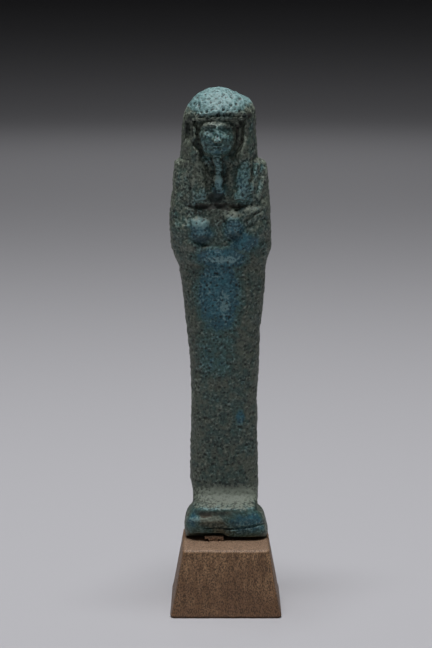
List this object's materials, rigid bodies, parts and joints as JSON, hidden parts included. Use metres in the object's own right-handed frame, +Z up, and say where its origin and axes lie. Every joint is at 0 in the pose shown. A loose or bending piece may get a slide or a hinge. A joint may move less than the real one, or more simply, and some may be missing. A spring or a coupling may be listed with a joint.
{
  "type": "ushabti figurine on a wooden stand",
  "caption": "Mummy-shaped ushabti figurine in weathered turquoise faience, with wig, plaited beard, folded arms and a back pillar, resting on a small tapered oak stand.",
  "frame": {"origin": "middle of the stand's underside, on the surface it stands on", "axes": "+Z up the figure, -Y the way it faces, +X to a viewer's right when facing it"},
  "size_m": [0.0324, 0.037, 0.1497],
  "materials": {
    "faience": "weathered turquoise glaze, matt and pitted, with earthy deposits",
    "oak": "waxed mid-brown oak, slightly worn at the edges"
  },
  "bodies": {
    "root": {"ushabti_figure": "faience", "oak_stand": "oak"}
  },
  "joints": []
}
